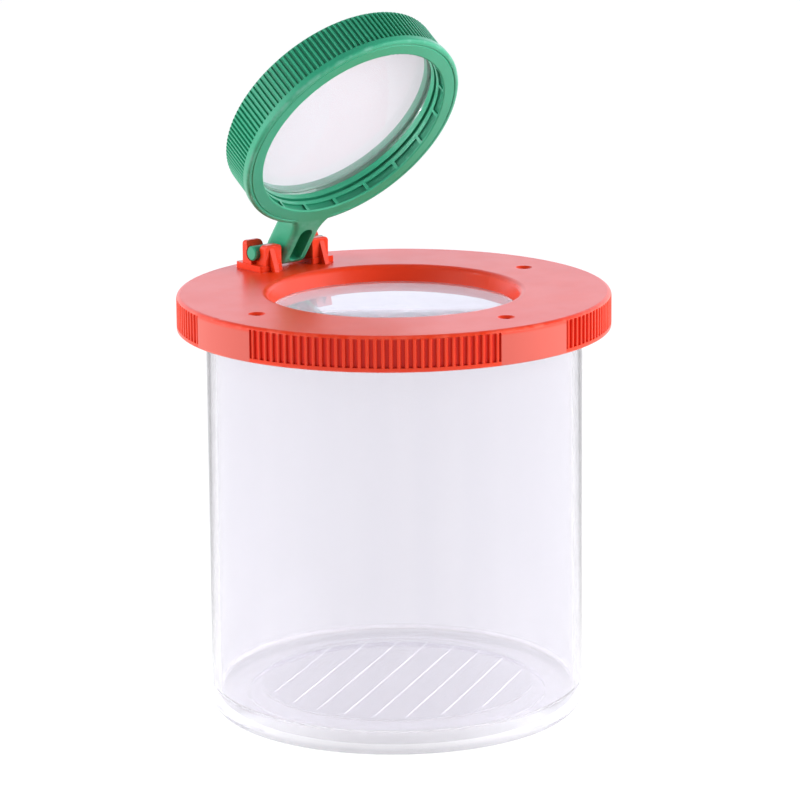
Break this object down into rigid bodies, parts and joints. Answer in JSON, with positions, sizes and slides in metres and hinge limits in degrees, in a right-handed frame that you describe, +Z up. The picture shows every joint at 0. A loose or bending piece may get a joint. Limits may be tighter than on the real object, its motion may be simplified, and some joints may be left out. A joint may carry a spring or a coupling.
{
  "type": "bug catcher jar",
  "caption": "Clear jar for watching insects, with a vented push-on lid that holds a magnifying lens and a flip-up ridged frame that holds another.",
  "frame": {"origin": "centre of the jar's base, on the surface that it stands on", "axes": "+Z up the jar's axis, +Y towards the hinge of the flip-up frame, X along its hinge pins"},
  "size_m": [0.075, 0.075, 0.1216],
  "materials": {
    "clear_jar": "clear polished styrene",
    "red_lid": "glossy moulded plastic",
    "clear_lens": "clear polished acrylic",
    "green_frame": "satin moulded plastic"
  },
  "bodies": {
    "jar": {"jar_body": "clear_jar"},
    "lid_window": {"lid_lens": "clear_lens"},
    "lid": {"lid_cap": "red_lid"},
    "flip_frame": {"lens_frame": "green_frame", "frame_lens": "clear_lens"}
  },
  "joints": [
    {"name": "lid_lift", "type": "slide", "parent": "jar", "child": "lid_window", "axis": [0, 0, 1], "range_m": [0, 0.05]},
    {"name": "lid_turn", "type": "hinge", "parent": "lid_window", "child": "lid", "pos_m": [0, 0, 0.0705], "axis": [0, 0, 1], "continuous": true},
    {"name": "frame_tilt", "type": "hinge", "parent": "lid", "child": "flip_frame", "pos_m": [0, 0.03, 0.077], "axis": [-1, 0, 0], "range_deg": [-54.6, 125.4]}
  ]
}
